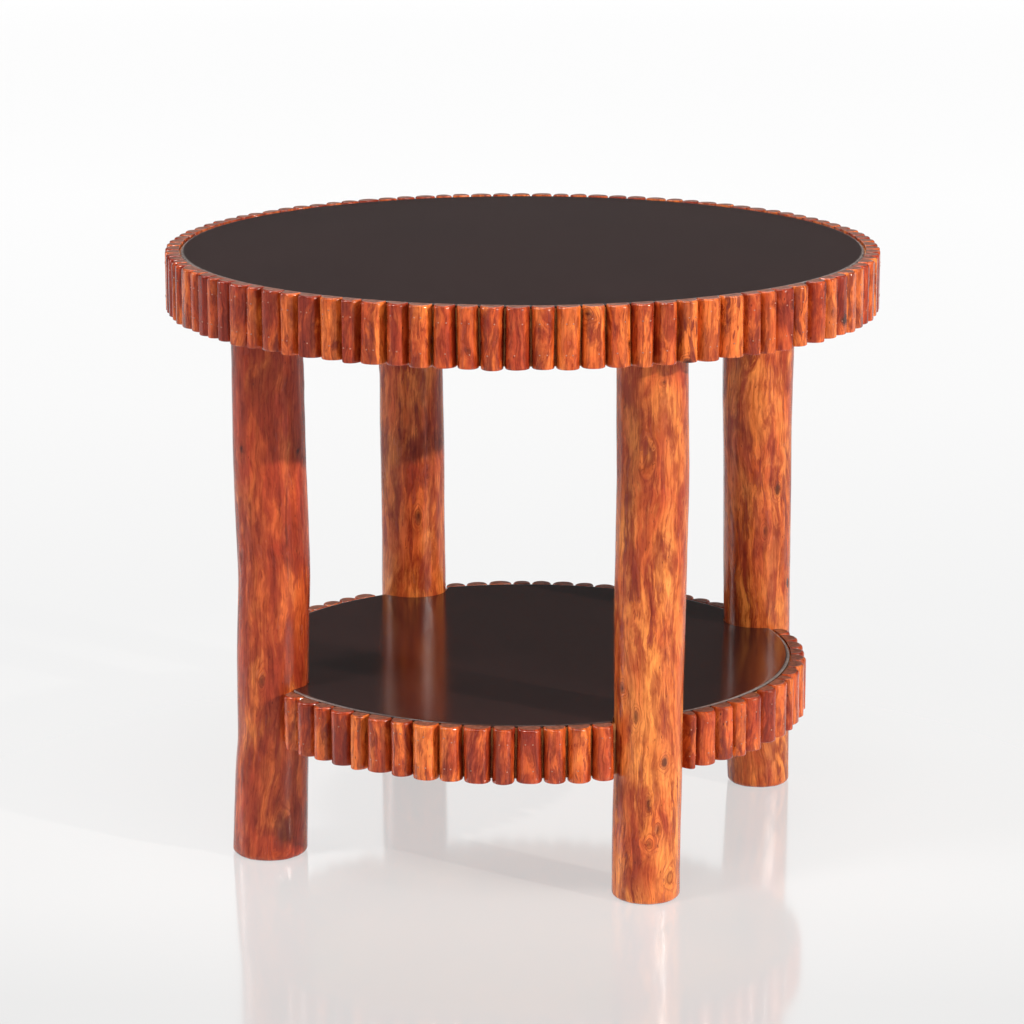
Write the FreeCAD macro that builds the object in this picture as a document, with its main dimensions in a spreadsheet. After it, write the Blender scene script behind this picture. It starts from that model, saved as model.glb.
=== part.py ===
import FreeCAD, Part
import Sketcher
import math
import os

# Rustic round side table with a lower shelf. Four peeled hickory poles stand on a circle and
# carry a round board with a dark covering. Split saplings are nailed side by side round its edge,
# over a rim that deepens the board. A smaller shelf, made the same way, is let into the inner
# halves of the poles near the floor. Everything is in millimetres, +Z is up, the origin is on the
# floor under the middle of the top, and -Y is the front. The poles stand on the diagonals.

doc = FreeCAD.newDocument("rustic_hickory_table")
sheet = doc.addObject("Spreadsheet::Sheet", "sizes")

DRIVING_SIZES = (
    # The top
    ("top_diameter", 762),
    ("top_height", 635),
    ("board_thickness", 19),
    ("covering_thickness", 3),
    ("top_covering_drop", 1),
    ("covering_setback", 1.5),
    ("top_rim_width", 30),
    ("top_rim_depth", 38),
    # The shelf
    ("shelf_setback", 1),
    ("shelf_height", 188),
    ("shelf_covering_rise", 0.4),
    ("shelf_rim_width", 30),
    ("shelf_rim_depth", 34),
    ("rim_joint_gap", 0.4),
    ("covering_leg_gap", 0.8),
    # The split slats
    ("top_slat_length", 63),
    ("top_slat_depth", 16.5),
    ("top_slat_pitch", 24),
    ("shelf_slat_length", 58.5),
    ("shelf_slat_depth", 17),
    ("shelf_slat_pitch", 26),
    ("slat_gap", 1.6),
    ("slat_lean", 1.4),
    ("slat_bevel", 2.5),
    ("slat_unevenness", 1.6),
    ("slat_leg_gap", 3),
    # The poles
    ("leg_diameter", 75),
    ("leg_rim_gap", 3.5),
    ("leg_bend", 6),
    ("foot_bevel", 4),
    ("leg_clearance", 0.3),
    # The blocks that hold the shelf to the poles
    ("block_width", 84),
    ("block_depth", 38),
    ("block_height", 32),
    ("block_gap", 0.3),
    ("cut_overrun", 5),
)
for row, (alias, number) in enumerate(DRIVING_SIZES, start=1):
    sheet.set("A%d" % row, alias)
    sheet.set("B%d" % row, str(number))
    sheet.setAlias("B%d" % row, alias)
doc.recompute()

# Levels and radii that several pieces share
TOP_COVERING_TOP = "(sizes.top_height - sizes.top_covering_drop)"
TOP_BOARD_TOP = "(%s - sizes.covering_thickness)" % TOP_COVERING_TOP
TOP_BOARD_BOTTOM = "(%s - sizes.board_thickness)" % TOP_BOARD_TOP
TOP_BOARD_RADIUS = "(sizes.top_diameter / 2 - sizes.top_slat_depth)"
# The poles stand just inside the top's rim, and the shelf's board ends at their middles
LEG_SPREAD = "(%s - sizes.top_rim_width - sizes.leg_rim_gap - sizes.leg_diameter / 2)" % TOP_BOARD_RADIUS
SHELF_COVERING_TOP = "(sizes.shelf_height + sizes.shelf_covering_rise)"
SHELF_BOARD_TOP = "(%s - sizes.covering_thickness)" % SHELF_COVERING_TOP
SHELF_BOARD_BOTTOM = "(%s - sizes.board_thickness)" % SHELF_BOARD_TOP
SHELF_RIM_BOTTOM = "(%s - sizes.shelf_rim_depth)" % SHELF_BOARD_BOTTOM
SHELF_BOARD_RADIUS = "(%s - sizes.shelf_setback)" % LEG_SPREAD
SHELF_RIM_INSIDE = "(%s - sizes.shelf_rim_width)" % SHELF_BOARD_RADIUS

UP = FreeCAD.Vector(0, 0, 1)
ORIGIN = FreeCAD.Vector(0, 0, 0)
TURN = 360
FRONT = 270
QUARTERS = 4
QUARTER = TURN / QUARTERS
OCTANTS = 8
OCTANT = TURN / OCTANTS

subparts = []


def size(expression):
    """The value of a sheet cell, or of one of the expressions above."""
    return float(sheet.evalExpression(expression.replace("sizes.", "")))


def kept(feature, label):
    """Gives a finished feature the label of its sub-part."""
    feature.Label = label
    subparts.append(feature)
    return feature


def place(feature, angle, outward="0", sideways="0", height="0"):
    """Turns a feature about the table's axis and binds its place, measured along its own radius."""
    feature.Placement = FreeCAD.Placement(ORIGIN, FreeCAD.Rotation(UP, angle))
    cosine = math.cos(math.radians(angle))
    sine = math.sin(math.radians(angle))
    feature.setExpression("Placement.Base.x", "%s * %.9f - %s * %.9f" % (outward, cosine, sideways, sine))
    feature.setExpression("Placement.Base.y", "%s * %.9f + %s * %.9f" % (outward, sine, sideways, cosine))
    feature.setExpression("Placement.Base.z", height)


def solid(kind, name, **expressions):
    """A Part primitive with its sizes bound to expressions."""
    feature = doc.addObject("Part::" + kind, name)
    for property_name, expression in expressions.items():
        feature.setExpression(property_name, expression)
    return feature


def cut(name, base, tool):
    feature = doc.addObject("Part::Cut", name)
    feature.Base = base
    feature.Tool = tool
    return feature


def joined(name, features):
    feature = doc.addObject("Part::MultiFuse", name)
    feature.Shapes = features
    return feature


# The poles, from the front left one round the front. Each follows its own crooked line. A row
# holds how far the pole strays outward and sideways there, as shares of leg_bend, and its girth
# as a share of leg_diameter, at its foot, at the seat where the shelf is let in, at two places
# above the shelf, and at its top. A pole is straight along its seat.
LEG_NAMES = ("front_left", "front_right", "back_right", "back_left")
FIRST_LEG_TURN_SHARE = 0.625
FOOT, SEAT, MIDDLE, UPPER, TOP = range(5)
LEG_SHARES = (
    ((0.75, -0.85, 1.05), (0.10, 0.00, 1.01), (-0.43, 0.21, 1.02), (-0.05, 0.02, 1.02), (0.30, -0.15, 0.985)),
    ((0.77, -0.57, 0.94), (0.04, 0.09, 0.95), (0.10, 0.20, 0.98), (0.25, 0.52, 0.98), (0.08, 0.18, 0.965)),
    ((0.60, -0.20, 0.925), (-0.05, 0.05, 0.99), (-0.33, 0.16, 1.00), (-0.50, 0.24, 1.04),
     (-0.38, 0.18, 1.015)),
    ((0.35, -0.20, 1.01), (-0.15, -0.32, 0.995), (-0.13, -0.27, 0.975), (-0.07, -0.15, 0.965),
     (0.00, -0.05, 0.955)),
)
# How far up the clear length between shelf and top the middle and upper stations lie
MIDDLE_HEIGHT_SHARE = 0.27
UPPER_HEIGHT_SHARE = 0.60
LEG_CLEAR_LENGTH = "(%s - %s)" % (TOP_BOARD_BOTTOM, SHELF_COVERING_TOP)
MIDDLE_HEIGHT = "%s + %g * %s" % (SHELF_COVERING_TOP, MIDDLE_HEIGHT_SHARE, LEG_CLEAR_LENGTH)
UPPER_HEIGHT = "%s + %g * %s" % (SHELF_COVERING_TOP, UPPER_HEIGHT_SHARE, LEG_CLEAR_LENGTH)


def leg_angle(leg):
    return TURN * FIRST_LEG_TURN_SHARE + QUARTER * leg


def leg_radius(leg, station):
    outward, sideways, girth = LEG_SHARES[leg][station]
    return "(%g * sizes.leg_diameter / 2)" % girth


def leg_stray(leg, station):
    """How far a pole's middle strays outward and sideways at a station."""
    outward, sideways, girth = LEG_SHARES[leg][station]
    return "(%g * sizes.leg_bend)" % outward, "(%g * sizes.leg_bend)" % sideways


def girth_sketch(body, name, outward, sideways, height, radius):
    """A level circle in the body, its middle and its radius bound to expressions."""
    sketch = body.newObject("Sketcher::SketchObject", name)
    plane = next(f for f in body.Origin.OriginFeatures if f.Role == "XY_Plane")
    sketch.AttachmentSupport = [(plane, "")]
    sketch.MapMode = "FlatFace"
    sketch.setExpression("AttachmentOffset.Base.x", outward)
    sketch.setExpression("AttachmentOffset.Base.y", sideways)
    sketch.setExpression("AttachmentOffset.Base.z", height)
    circle = sketch.addGeometry(Part.Circle(ORIGIN, UP, size(radius)), False)
    sketch.addConstraint(Sketcher.Constraint("Coincident", circle, 3, -1, 1))
    rule = sketch.addConstraint(Sketcher.Constraint("Radius", circle, size(radius)))
    sketch.setExpression("Constraints[%d]" % rule, radius)
    return sketch


def make_leg(leg, name):
    """A pole as a ruled loft through its girths, from a bevelled foot to the board."""
    body = kept(doc.addObject("PartDesign::Body", "leg_" + name), "leg_" + name)
    levels = (
        (FOOT, "0", "%s - sizes.foot_bevel" % leg_radius(leg, FOOT)),
        (FOOT, "sizes.foot_bevel", leg_radius(leg, FOOT)),
        (SEAT, SHELF_RIM_BOTTOM, leg_radius(leg, SEAT)),
        (SEAT, SHELF_COVERING_TOP, leg_radius(leg, SEAT)),
        (MIDDLE, MIDDLE_HEIGHT, leg_radius(leg, MIDDLE)),
        (UPPER, UPPER_HEIGHT, leg_radius(leg, UPPER)),
        (TOP, TOP_BOARD_BOTTOM, leg_radius(leg, TOP)),
    )
    girths = []
    for number, (station, height, radius) in enumerate(levels):
        outward, sideways = leg_stray(leg, station)
        girths.append(girth_sketch(body, "%s_girth_%d" % (name, number), outward, sideways, height, radius))
    pole = body.newObject("PartDesign::AdditiveLoft", name + "_pole")
    pole.Profile = girths[0]
    pole.Sections = girths[1:]
    pole.Ruled = True
    place(body, leg_angle(leg), LEG_SPREAD)


def leg_columns(clearance):
    """Straight columns round the poles, used to let the shelf's pieces in round them."""
    columns = []
    for leg, name in enumerate(LEG_NAMES):
        outward, sideways = leg_stray(leg, SEAT)
        radius = "%s + sizes.%s" % (leg_radius(leg, SEAT), clearance)
        column = solid("Cylinder", "%s_column_%s" % (name, clearance), Radius=radius, Height=TOP_BOARD_TOP)
        place(column, leg_angle(leg), "(%s + %s)" % (LEG_SPREAD, outward), sideways)
        columns.append(column)
    return joined("columns_" + clearance, columns)


for leg, name in enumerate(LEG_NAMES):
    make_leg(leg, name)
leg_seats = leg_columns("leg_clearance")
leg_openings = leg_columns("covering_leg_gap")


# The boards and their coverings
def make_disc(name, radius, thickness, top):
    disc = solid("Cylinder", name, Radius=radius, Height=thickness)
    place(disc, 0, height="%s - %s" % (top, thickness))
    return disc


def make_board(name, radius, top):
    return make_disc(name, radius, "sizes.board_thickness", top)


def make_covering(name, board_radius, top):
    return make_disc(name, "%s - sizes.covering_setback" % board_radius, "sizes.covering_thickness", top)


kept(make_board("top_board", TOP_BOARD_RADIUS, TOP_BOARD_TOP), "top_board")
kept(make_covering("top_covering", TOP_BOARD_RADIUS, TOP_COVERING_TOP), "top_covering")
shelf_disc = make_board("shelf_disc", SHELF_BOARD_RADIUS, SHELF_BOARD_TOP)
kept(cut("shelf_disc_notched", shelf_disc, leg_seats), "shelf_board")
shelf_sheet = make_covering("shelf_sheet", SHELF_BOARD_RADIUS, SHELF_COVERING_TOP)
kept(cut("shelf_sheet_notched", shelf_sheet, leg_openings), "shelf_covering")


# The rims that deepen the boards' edges, sawn in four arcs each. The top's joints fall midway
# between the poles, and the shelf's arcs reach from pole to pole.
def make_rim_arc(label, radius, width, depth, bottom, first_angle):
    """A quarter of a ring, short of the next by a saw cut's gap."""
    span = "%g - %g * sizes.rim_joint_gap / (2 * pi * %s)" % (QUARTER, TURN, radius)
    outside = solid("Cylinder", label + "_outside", Radius=radius, Height=depth, Angle=span)
    inside = solid("Cylinder", label + "_inside", Radius="%s - %s" % (radius, width),
                   Height="%s + 2 * sizes.cut_overrun" % depth)
    place(outside, first_angle, height=bottom)
    place(inside, 0, height="%s - sizes.cut_overrun" % bottom)
    return cut(label + "_arc", outside, inside)


for quarter in range(QUARTERS):
    top_arc = make_rim_arc(
        "top_rim_%d" % (quarter + 1), TOP_BOARD_RADIUS, "sizes.top_rim_width", "sizes.top_rim_depth",
        "(%s - sizes.top_rim_depth)" % TOP_BOARD_BOTTOM, FRONT + quarter * QUARTER)
    kept(top_arc, "top_rim_%d" % (quarter + 1))
    shelf_arc = make_rim_arc(
        "shelf_rim_%d" % (quarter + 1), SHELF_BOARD_RADIUS, "sizes.shelf_rim_width",
        "sizes.shelf_rim_depth", SHELF_RIM_BOTTOM, leg_angle(quarter))
    kept(cut("shelf_rim_%d_notched" % (quarter + 1), shelf_arc, leg_seats), "shelf_rim_%d" % (quarter + 1))


# The blocks under the shelf, inside its rim, each hollowed to the pole that it is fixed to
BLOCK_OUTSIDE = "(sqrt(%s ^ 2 - (sizes.block_width / 2) ^ 2) - sizes.block_gap)" % SHELF_RIM_INSIDE
for leg, name in enumerate(LEG_NAMES):
    block = solid("Box", name + "_block", Length="sizes.block_depth", Width="sizes.block_width",
                  Height="sizes.block_height")
    place(block, leg_angle(leg), "(%s - sizes.block_depth)" % BLOCK_OUTSIDE, "(-sizes.block_width / 2)",
          "%s - sizes.block_height" % SHELF_BOARD_BOTTOM)
    kept(cut(name + "_block_hollowed", block, leg_seats), "shelf_block_" + name)


# The slats. Each is half of a split sapling, flat behind and crowned in front. The lines between
# them lean one way and the other, so that the slats taper and tilt, but the gap stays even. Half
# of a slat's section has corners at shares of its depth and of half its width.
SLAT_CORNER_SHARES = ((0, 1), (0.45, 1), (0.80, 0.80), (1, 0.36))
# Widths as shares of the pitch, from the table's left round its front to its right, and which
# slats have a wider gap on their left
TOP_WIDTH_SHARES = (
    0.73, 0.84, 1.41, 0.84, 0.91, 0.73, 0.94, 1.31, 0.80, 1.29, 0.97, 1.13, 1.10, 0.94,
    1.16, 1.03, 1.10, 1.00, 0.99, 1.12, 1.10, 1.06, 1.12, 1.03, 1.13, 1.08, 1.05, 0.98,
    1.16, 1.18, 0.93, 0.87, 1.16, 1.03, 1.35, 0.89, 0.94, 1.02, 1.04, 0.95, 1.04,
)
TOP_WIDE_GAP_SHARES = {34: 0.30}
TOP_FIRST_TURN_SHARE = 0.5952
# The same for each bay of the shelf, from the front one round: the empty stretch beside the bay's
# first pole, the widths, and the slats with a wider gap
BAY_SHARES = (
    (0.02, (1.04, 1.03, 0.92, 1.11, 0.79, 1.08, 0.98, 1.15, 0.97, 1.22, 0.99, 1.05, 1.00, 1.04, 0.91), {}),
    (0.0, (0.56, 0.98, 0.91, 0.81, 0.98, 1.18, 1.00, 0.62, 1.20), {5: 0.27}),
    (0.1, (0.95, 1.08), {}),
    (0.2, (1.06, 0.90), {}),
)
WIDTH_VARIATION_SHARE = 0.16


def uneven(number, seed):
    """An irregular share between -1 and 1 that differs from slat to slat."""
    return 0.65 * math.sin(2.1 * number + seed) + 0.35 * math.sin(5.3 * number + 2 * seed)


def width_shares(count, measured):
    """The widths given, followed by irregular ones up to the count."""
    rest = range(len(measured), count)
    return list(measured[:count]) + [1 + WIDTH_VARIATION_SHARE * uneven(number, 1) for number in rest]


def slat_run(start_angle, end_angle, shares, wide_gap_shares, lead_share=0.0):
    """For each slat of a run, the angles of the lines on its left and right, in degrees."""
    pitch_angle = (end_angle - start_angle) / (sum(shares) + lead_share)
    left = start_angle + lead_share * pitch_angle
    lines = []
    for number, share in enumerate(shares):
        right = left + share * pitch_angle
        lines.append((left + wide_gap_shares.get(number, 0) * pitch_angle, right))
        left = right
    return lines


def slat_solid(radius, depth, top, length, left_edges, right_edges):
    """A slat whose back touches the radius. Its edges are given at its top and at its bottom."""
    bottom = top - length
    bevel = size("sizes.slat_bevel")
    overrun = size("sizes.cut_overrun")
    middle = (min(left_edges) + max(right_edges)) / 2
    half_width = (max(right_edges) - min(left_edges)) / 2
    right_side = [(share * depth, middle + wide * half_width) for share, wide in SLAT_CORNER_SHARES]
    left_side = [(share * depth, middle - wide * half_width) for share, wide in SLAT_CORNER_SHARES]
    section = [FreeCAD.Vector(radius + x, y, bottom) for x, y in right_side + left_side[::-1]]
    corners = ((left_edges[0], top), (right_edges[0], top), (right_edges[1], bottom), (left_edges[1], bottom))
    front = [FreeCAD.Vector(radius - overrun, y, z) for y, z in corners]
    nose = radius + depth
    side = [
        FreeCAD.Vector(x, middle - half_width - overrun, z)
        for x, z in ((radius, bottom), (nose - bevel, bottom), (nose, bottom + bevel),
                     (nose, top - bevel), (nose - bevel, top), (radius, top))
    ]

    def prism(corners, direction):
        return Part.Face(Part.makePolygon(corners + corners[:1])).extrude(direction)

    upright = prism(section, FreeCAD.Vector(0, 0, length))
    tapered = prism(front, FreeCAD.Vector(depth + 2 * overrun, 0, 0))
    bevelled = prism(side, FreeCAD.Vector(0, 2 * (half_width + overrun), 0))
    return upright.common(tapered).common(bevelled)


def make_slats(lines, radius, depth, top, length, seed):
    """Every slat of a run, with the angle that each stands at."""
    gap = size("sizes.slat_gap")
    lean = size("sizes.slat_lean")
    unevenness = size("sizes.slat_unevenness")
    slats = []
    for number, (left, right) in enumerate(lines):
        angle = (left + right) / 2
        half_width = radius * math.tan(math.radians(right - left) / 2) - gap / 2
        left_edges = (-half_width, -half_width + lean * uneven(number, seed))
        right_edges = (half_width, half_width + lean * uneven(number + 1, seed))
        shallower = unevenness * (1 + uneven(number, seed + 1)) / 2
        shorter = unevenness * (1 + uneven(number, seed + 2)) / 2
        slat = slat_solid(radius, depth - shallower, top, length - shorter, left_edges, right_edges)
        slats.append((angle, slat))
    return slats


def keep_slats(label, slats, octant, centre_angle):
    """One octant's slats as one sub-part, built round its centre line and turned into place."""
    turned = []
    for angle, slat in slats:
        offset = (angle - centre_angle + TURN / 2) % TURN - TURN / 2
        if -OCTANT / 2 <= offset < OCTANT / 2:
            slat.rotate(ORIGIN, UP, offset)
            turned.append(slat)
    group = doc.addObject("Part::Feature", "%s_%d" % (label, octant + 1))
    group.Shape = Part.makeCompound(turned)
    group.Placement = FreeCAD.Placement(ORIGIN, FreeCAD.Rotation(UP, centre_angle))
    kept(group, "%s_%d" % (label, octant + 1))


def top_slats():
    radius = size(TOP_BOARD_RADIUS)
    crown_radius = size("sizes.top_diameter / 2")
    count = round(2 * math.pi * crown_radius / size("sizes.top_slat_pitch"))
    shares = width_shares(count, TOP_WIDTH_SHARES)
    start = TURN * TOP_FIRST_TURN_SHARE
    lines = slat_run(start, start + TURN, shares, TOP_WIDE_GAP_SHARES)
    return make_slats(lines, radius, size("sizes.top_slat_depth"), size("sizes.top_height"),
                      size("sizes.top_slat_length"), 0.4)


def leg_half_angle(leg):
    """How far round from a pole's line, either way, the shelf's slats must stay clear of it."""
    outward, sideways = (size(stray) for stray in leg_stray(leg, SEAT))
    spread = size(LEG_SPREAD) + outward
    clear = size(leg_radius(leg, SEAT)) + abs(sideways) + size("sizes.slat_leg_gap")
    radius = size(SHELF_BOARD_RADIUS)
    return math.degrees(math.acos((radius ** 2 + spread ** 2 - clear ** 2) / (2 * radius * spread)))


def shelf_slats():
    radius = size(SHELF_BOARD_RADIUS)
    crown_radius = radius + size("sizes.shelf_slat_depth")
    slats = []
    for bay, (lead_share, measured_shares, wide_gap_shares) in enumerate(BAY_SHARES):
        start = leg_angle(bay) + leg_half_angle(bay)
        end = leg_angle(bay + 1) - leg_half_angle((bay + 1) % QUARTERS)
        arc = math.radians(end - start) * crown_radius
        count = round(arc / size("sizes.shelf_slat_pitch") - lead_share)
        lines = slat_run(start, end, width_shares(count, measured_shares), wide_gap_shares, lead_share)
        slats += make_slats(lines, radius, size("sizes.shelf_slat_depth"), size("sizes.shelf_height"),
                            size("sizes.shelf_slat_length"), 1.3 + bay)
    return slats


all_top_slats = top_slats()
all_shelf_slats = shelf_slats()
for octant in range(OCTANTS):
    keep_slats("top_slats", all_top_slats, octant, FRONT + octant * OCTANT)
    keep_slats("shelf_slats", all_shelf_slats, octant, FRONT + (octant - 0.5) * OCTANT)

doc.recompute()
for feature in doc.Objects:
    if "Invalid" in feature.State or "Error" in feature.State:
        raise RuntimeError("%s could not be built: %s" % (feature.Name, feature.State))
for feature in subparts:
    if feature.Shape.isNull() or not feature.Shape.isValid():
        raise RuntimeError("%s has no sound shape" % feature.Label)

os.makedirs("parts", exist_ok=True)
for feature in subparts:
    feature.Shape.exportStep("parts/%s.step" % feature.Label)
    print("%s: %d solids, %.1f cm3" % (feature.Label, len(feature.Shape.Solids), feature.Shape.Volume / 1000))
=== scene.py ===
import math
from collections import namedtuple

import bmesh
import bpy
import numpy as np
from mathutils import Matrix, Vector, noise


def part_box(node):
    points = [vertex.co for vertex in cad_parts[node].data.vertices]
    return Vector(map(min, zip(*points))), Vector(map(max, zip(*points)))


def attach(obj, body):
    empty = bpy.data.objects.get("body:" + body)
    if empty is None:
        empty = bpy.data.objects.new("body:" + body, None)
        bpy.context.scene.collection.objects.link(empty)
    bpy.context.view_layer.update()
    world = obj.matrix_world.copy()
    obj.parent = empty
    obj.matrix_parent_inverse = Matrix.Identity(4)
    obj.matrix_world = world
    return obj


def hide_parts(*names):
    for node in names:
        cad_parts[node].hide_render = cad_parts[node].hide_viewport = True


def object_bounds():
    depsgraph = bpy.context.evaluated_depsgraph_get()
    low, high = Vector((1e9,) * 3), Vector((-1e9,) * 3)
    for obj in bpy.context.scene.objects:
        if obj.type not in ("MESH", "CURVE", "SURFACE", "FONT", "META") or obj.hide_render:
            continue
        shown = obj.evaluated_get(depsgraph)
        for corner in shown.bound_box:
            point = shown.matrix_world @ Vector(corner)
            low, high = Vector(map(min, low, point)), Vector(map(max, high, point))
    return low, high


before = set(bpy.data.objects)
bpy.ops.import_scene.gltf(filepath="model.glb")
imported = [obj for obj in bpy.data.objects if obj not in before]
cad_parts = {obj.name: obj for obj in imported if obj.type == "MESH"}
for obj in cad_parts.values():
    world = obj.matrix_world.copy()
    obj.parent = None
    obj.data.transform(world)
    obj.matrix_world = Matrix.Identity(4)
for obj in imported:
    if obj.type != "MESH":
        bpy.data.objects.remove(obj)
cad_low, cad_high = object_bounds()


# The four poles. Hickory saplings with the bark peeled off, a little crooked and out of round,
# with branch knots, a drying crack in the front left one, and a glossy amber varnish.

POLE_LEVEL_STEP = 0.0035
POLE_STRIPS = 112
FOOT_ROUNDING = 0.0055
FOOT_LEVEL_SHARES = (0.06, 0.2, 0.42, 0.7, 1.0)
SMOOTHING_REACH = 4
WANDER, HOLLOWS, RIPPLES = 0.0011, 0.0007, 0.00018
# The stretch of each pole that is let into the shelf, where it is kept plain and a little slim
SEAT_LOW, SEAT_HIGH = 0.125, 0.194
SEAT_FADE = 0.02
SEAT_INSET = 0.0003
SEAT_KNOT_SHARE = 0.35
# How far out each ring of points on a sawn end lies, as a share of the way to its edge
POLE_END_SHARES = (0.94, 0.6, 0.25)
FIRST_POLE_SEED, POLE_SEED_STEP = 1.7, 3.1
# How pale each pole is, from 0 to 1, at the middle height, and how much paler for each metre up.
# The rise is below zero, so the poles are painted darker towards the top: painted shade from the table top
# over them
MIDDLE_HEIGHT = 0.3
POLE_TONES = {"front_left": 0.33, "front_right": 0.64, "back_right": 0.62, "back_left": 0.55}
PAINTED_SHADE_TONE_RISE = -0.20
# Branch knots of each pole: the side of the pole it is on in degrees, its height, its radius
# across the grain, how many times taller than wide, how far it stands proud and how dark it is
POLE_KNOTS = {
    "front_left": (
        (274, 0.199, 0.0034, 2.4, 0.0005, 0.42), (314, 0.027, 0.0100, 2.2, 0.0008, 0.34),
        (244, 0.447, 0.0022, 1.6, 0.0003, 0.8), (343, 0.443, 0.0024, 1.3, 0.0003, 0.8),
        (232, 0.330, 0.0036, 2.4, 0.0004, 0.3), (120, 0.420, 0.0060, 2.3, 0.0009, 0.42),
        (60, 0.270, 0.0045, 2.0, 0.0007, 0.50), (165, 0.090, 0.0052, 1.8, 0.0007, 0.38),
        (20, 0.520, 0.0040, 2.2, 0.0006, 0.45),
    ),
    "front_right": (
        (316, 0.150, 0.0040, 1.5, 0.0007, 0.62), (239, 0.227, 0.0036, 1.5, 0.0006, 0.5),
        (266, 0.198, 0.0028, 2.6, 0.0005, 0.5), (289, 0.108, 0.0024, 2.6, 0.0004, 0.5),
        (305, 0.080, 0.0036, 1.8, 0.0005, 0.35), (292, 0.065, 0.0036, 1.4, 0.0005, 0.35),
        (328, 0.027, 0.0070, 1.5, 0.0006, 0.25), (281, 0.470, 0.0062, 2.6, 0.0008, 0.20),
        (305, 0.545, 0.0022, 1.0, 0.0003, 0.5), (100, 0.360, 0.0062, 2.2, 0.0009, 0.45),
        (45, 0.480, 0.0046, 2.0, 0.0007, 0.50), (170, 0.250, 0.0050, 1.9, 0.0007, 0.38),
    ),
    "back_right": (
        (270, 0.500, 0.0075, 2.1, 0.0008, 0.25), (322, 0.345, 0.0036, 1.9, 0.0005, 0.7),
        (352, 0.235, 0.0034, 1.9, 0.0005, 0.7), (300, 0.300, 0.0030, 2.6, 0.0004, 0.4),
        (80, 0.420, 0.0062, 2.1, 0.0009, 0.42), (150, 0.090, 0.0048, 2.0, 0.0007, 0.50),
        (30, 0.150, 0.0044, 1.8, 0.0007, 0.40),
    ),
    "back_left": (
        (300, 0.285, 0.0036, 2.4, 0.0004, 0.5), (262, 0.520, 0.0050, 1.9, 0.0006, 0.5),
        (318, 0.330, 0.0024, 1.3, 0.0003, 0.4), (110, 0.300, 0.0060, 2.3, 0.0009, 0.45),
        (190, 0.460, 0.0046, 2.0, 0.0007, 0.50), (70, 0.080, 0.0050, 1.9, 0.0007, 0.38),
    ),
}
# The drying crack: its side in degrees at its foot and its head, their heights, its half width
# and how deep it goes
CRACKS = {"front_left": ((312.0, 0.280, 318.5, 0.425, 0.0009, 0.0008),)}
CRACK_WOBBLE = 1.4
CRACK_DARKNESS = 0.45


def pole_rings(node):
    """The height, middle and radius of each ring of a pole, from the foot up."""
    rings = {}
    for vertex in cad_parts[node].data.vertices:
        rings.setdefault(round(vertex.co.z, 4), []).append(vertex.co.xy)
    found = []
    for height in sorted(rings):
        xs, ys = [p.x for p in rings[height]], [p.y for p in rings[height]]
        middle = ((min(xs) + max(xs)) / 2, (min(ys) + max(ys)) / 2)
        found.append((height, *middle, (max(xs) - min(xs)) / 2))
    return np.array(found)


def smoothed(values, reach):
    """A run of values with its corners rounded over a number of neighbours."""
    window = np.hanning(2 * reach + 3)[1:-1]
    ends = (np.full(reach, values[0]), values, np.full(reach, values[-1]))
    return np.convolve(np.concatenate(ends), window / window.sum(), "valid")


def hump(off):
    """A smooth hump, 1 in the middle and faded out at 2 on either side."""
    return math.exp(-off ** 2)


def wavering(x, y, z):
    """A steady cloudy value at a place, from -1 to 1."""
    return noise.noise(Vector((x, y, z)))


def turned_apart(angle, side):
    """How far an angle is from a side, both in degrees, from -180 to 180."""
    return (angle - side + 180) % 360 - 180


def put_in_scene(name, data):
    """A new object that shows a mesh, a lamp or a camera."""
    shown = bpy.data.objects.new(name, data)
    bpy.context.scene.collection.objects.link(shown)
    return shown


def make_mesh(name, points, faces, values, smooth=True):
    """A mesh object from points and faces, with named values kept on its points."""
    mesh = bpy.data.meshes.new(name)
    mesh.from_pydata(points, [], faces)
    for label, rows in values.items():
        flat = np.asarray(rows, np.float32)
        kind, field = ("FLOAT_VECTOR", "vector") if flat.ndim == 2 else ("FLOAT", "value")
        mesh.attributes.new(label, kind, "POINT").data.foreach_set(field, flat.ravel())
    mesh.polygons.foreach_set("use_smooth", [smooth] * len(mesh.polygons))
    mesh.validate()
    return put_in_scene(name, mesh)


def skin(start, strips, rings):
    """The faces between neighbouring rings of points, each with the same number of strips."""
    faces = []
    for ring in range(rings - 1):
        for strip in range(strips):
            here, beside = start + ring * strips + strip, start + ring * strips + (strip + 1) % strips
            faces.append((here, beside, beside + strips, here + strips))
    return faces


def close_end(made, edge, shares, downward, seed, tone):
    """A sawn end: rings of points that draw in from its edge, with their faces and values."""
    points, faces, grain, rings, darks, sawn, tones = made
    outline = [Vector(points[index]) for index in edge]
    centre = sum(outline, Vector()) / len(outline)
    for share in shares:
        inner = list(range(len(points), len(points) + len(edge)))
        for spot in outline:
            points.append(tuple(centre + (spot - centre) * share))
            grain.append((points[-1][0], points[-1][1], seed))
        for values, value in ((rings, 0.0), (darks, 0.0), (sawn, 1.0), (tones, tone)):
            values += [value] * len(edge)
        for place in range(len(edge)):
            beside = (place + 1) % len(edge)
            ring = (edge[place], edge[beside], inner[beside], inner[place])
            faces.append(ring[::-1] if downward else ring)
        edge = inner
    faces.append(tuple(edge[::-1]) if downward else tuple(edge))


def hickory_piece(name, made):
    """The mesh object of a pole or of a run of slats."""
    points, faces, grain, rings, darks, sawn, tones = made
    return make_mesh(name, points, faces,
                     {"grain": grain, "rings": rings, "dark": darks, "sawn": sawn, "tone": tones})


KNOT_REACH = 7


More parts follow.
